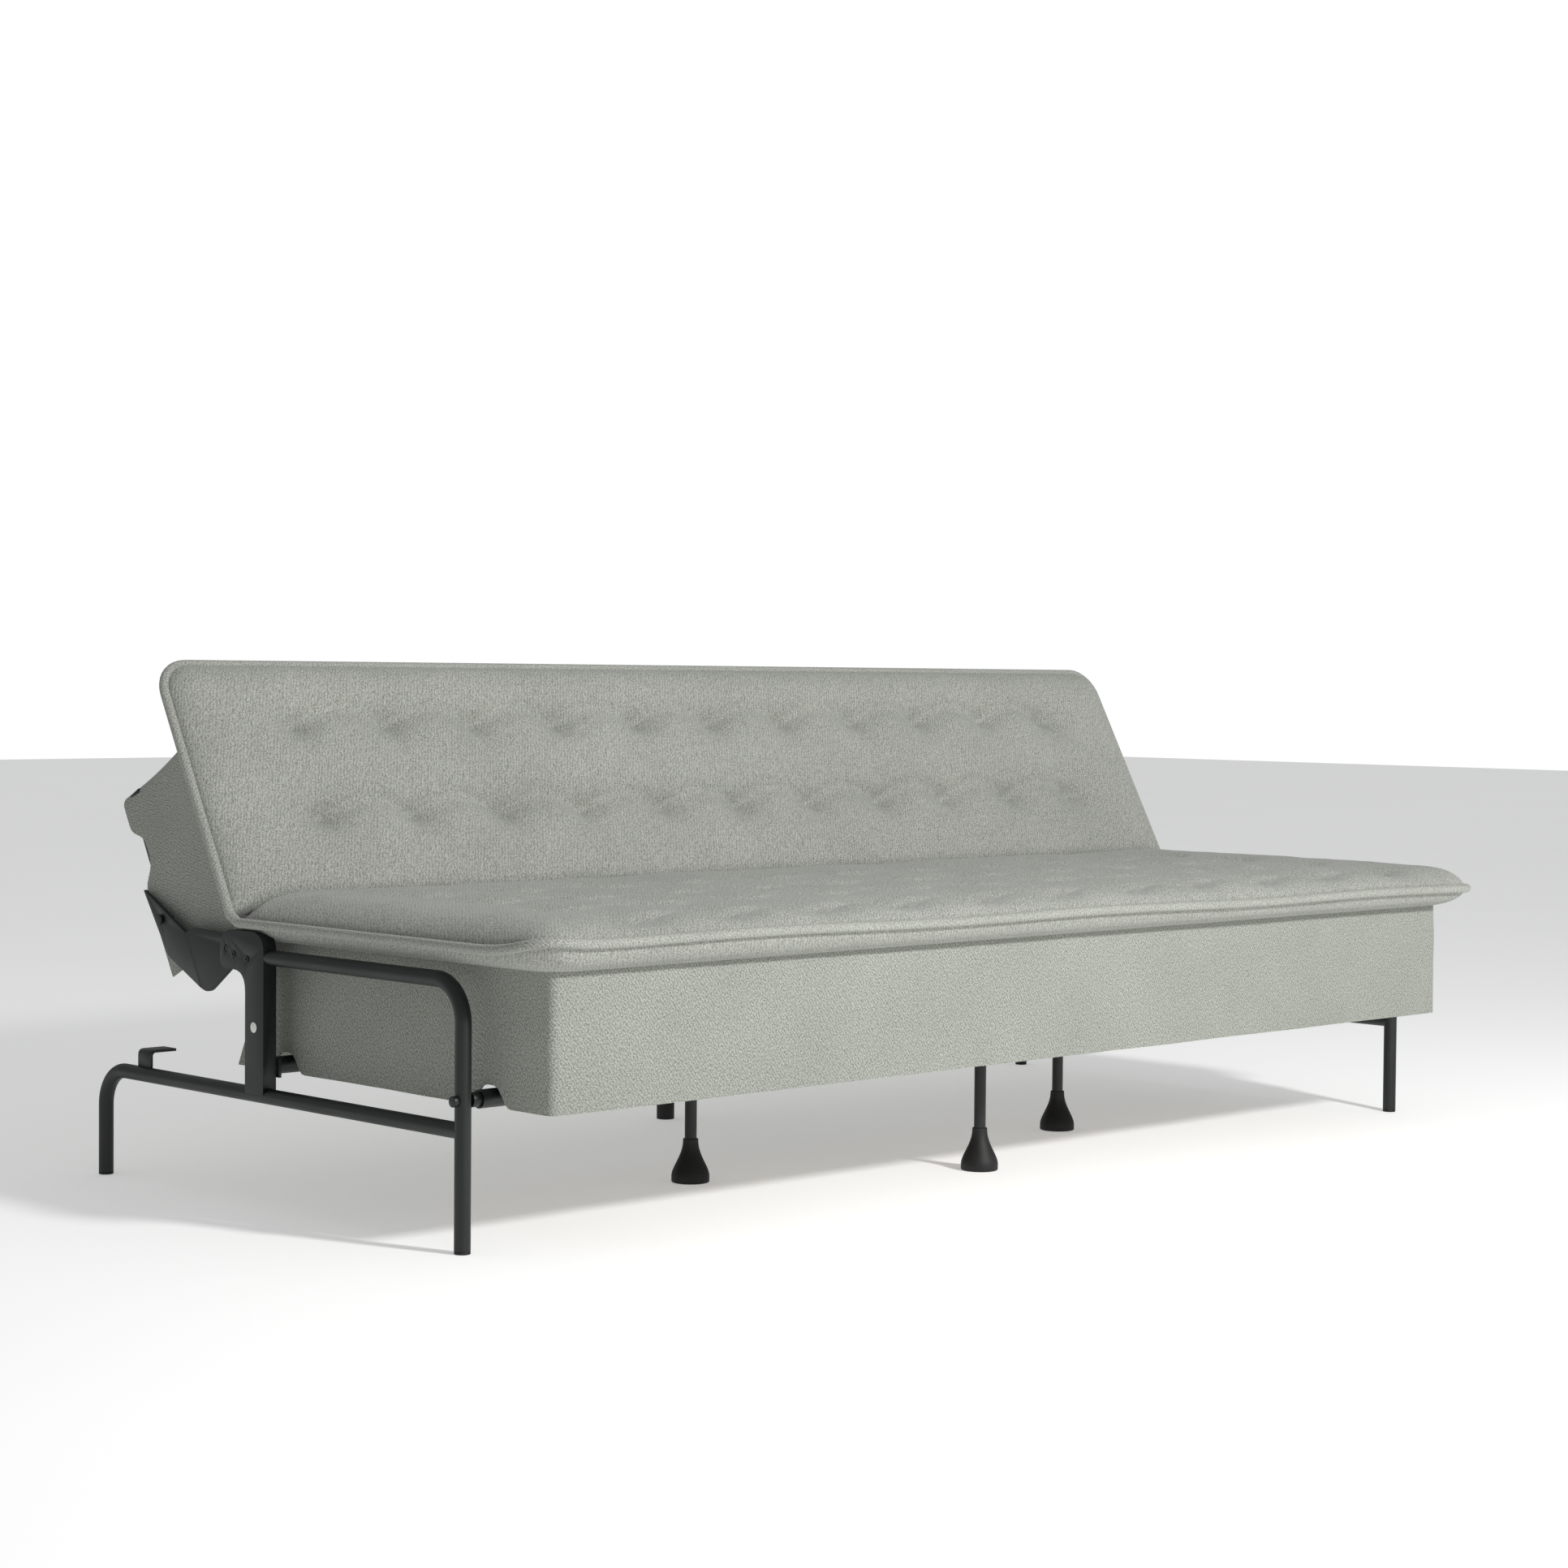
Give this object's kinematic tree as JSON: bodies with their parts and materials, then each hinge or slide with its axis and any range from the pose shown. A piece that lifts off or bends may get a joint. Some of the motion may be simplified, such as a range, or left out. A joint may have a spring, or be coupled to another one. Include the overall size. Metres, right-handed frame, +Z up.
{
  "type": "futon sofa bed",
  "caption": "Fold-down sofa bed: long tufted mattress seat and back on bent-tube end frames, with a back that hinges down level with the seat.",
  "frame": {"origin": "on the floor, at the middle of the sofa's footprint in the sitting position", "axes": "+X along the sofa, to the right as seen from in front, -Y out of the front of the seat, +Z up"},
  "size_m": [2.086, 1.046, 0.7638],
  "materials": {
    "black_steel": "semi-matt black powder coat",
    "black_plastic": "matt moulded plastic",
    "woven_fabric": "pale grey-green melange weave",
    "beech_slat": "clear-lacquered laminated beech",
    "badge_print": "plain pale disc, no mark"
  },
  "bodies": {
    "base": {"front_leg_left": "black_steel", "lower_rail_left": "black_steel", "hinge_post_left": "black_steel", "head_bolt_left_1": "black_steel", "head_bolt_left_2": "black_steel", "hinge_pin_left": "black_steel", "post_badge_left": "badge_print", "rest_hook_left": "black_steel", "glide_front_left": "black_plastic", "glide_rear_left": "black_plastic", "leg_bolt_left": "black_steel", "leg_spacer_left": "black_steel", "front_leg_right": "black_steel", "lower_rail_right": "black_steel", "hinge_post_right": "black_steel", "head_bolt_right_1": "black_steel", "head_bolt_right_2": "black_steel", "hinge_pin_right": "black_steel", "post_badge_right": "badge_print", "rest_hook_right": "black_steel", "glide_front_right": "black_plastic", "glide_rear_right": "black_plastic", "leg_bolt_right": "black_steel", "leg_spacer_right": "black_steel", "front_cross_tube": "black_steel", "mid_cross_tube": "black_steel", "rear_cross_tube": "black_steel", "seat_rail_left": "black_steel", "seat_rail_right": "black_steel", "seat_slat_1": "beech_slat", "seat_slat_2": "beech_slat", "seat_slat_3": "beech_slat", "centre_beam": "black_steel", "foot_rear_centre": "black_plastic", "centre_rest_pad": "black_plastic", "foot_front_centre": "black_plastic", "leg_front_centre": "black_steel", "foot_mid_left": "black_plastic", "leg_mid_left": "black_steel", "foot_mid_right": "black_plastic", "leg_mid_right": "black_steel", "seat_mattress": "woven_fabric", "seat_skirt_front": "woven_fabric", "seat_skirt_left": "woven_fabric", "seat_skirt_right": "woven_fabric", "seat_skirt_rear": "woven_fabric"},
    "backrest": {"back_rail_left": "black_steel", "back_rail_right": "black_steel", "back_cross_rail_lower": "black_steel", "back_cross_rail_upper": "black_steel", "back_slat_1": "beech_slat", "back_slat_2": "beech_slat", "back_mattress": "woven_fabric", "back_skirt_left": "woven_fabric", "back_skirt_right": "woven_fabric", "back_skirt_top": "woven_fabric", "back_bracket_left": "black_steel", "back_bolt_left": "black_steel", "back_bracket_right": "black_steel", "back_bolt_right": "black_steel"}
  },
  "joints": [
    {"name": "back_fold", "type": "hinge", "parent": "base", "child": "backrest", "pos_m": [0, 0.177, 0.363], "axis": [-1, 0, 0], "range_deg": [-8, 61.5]}
  ]
}
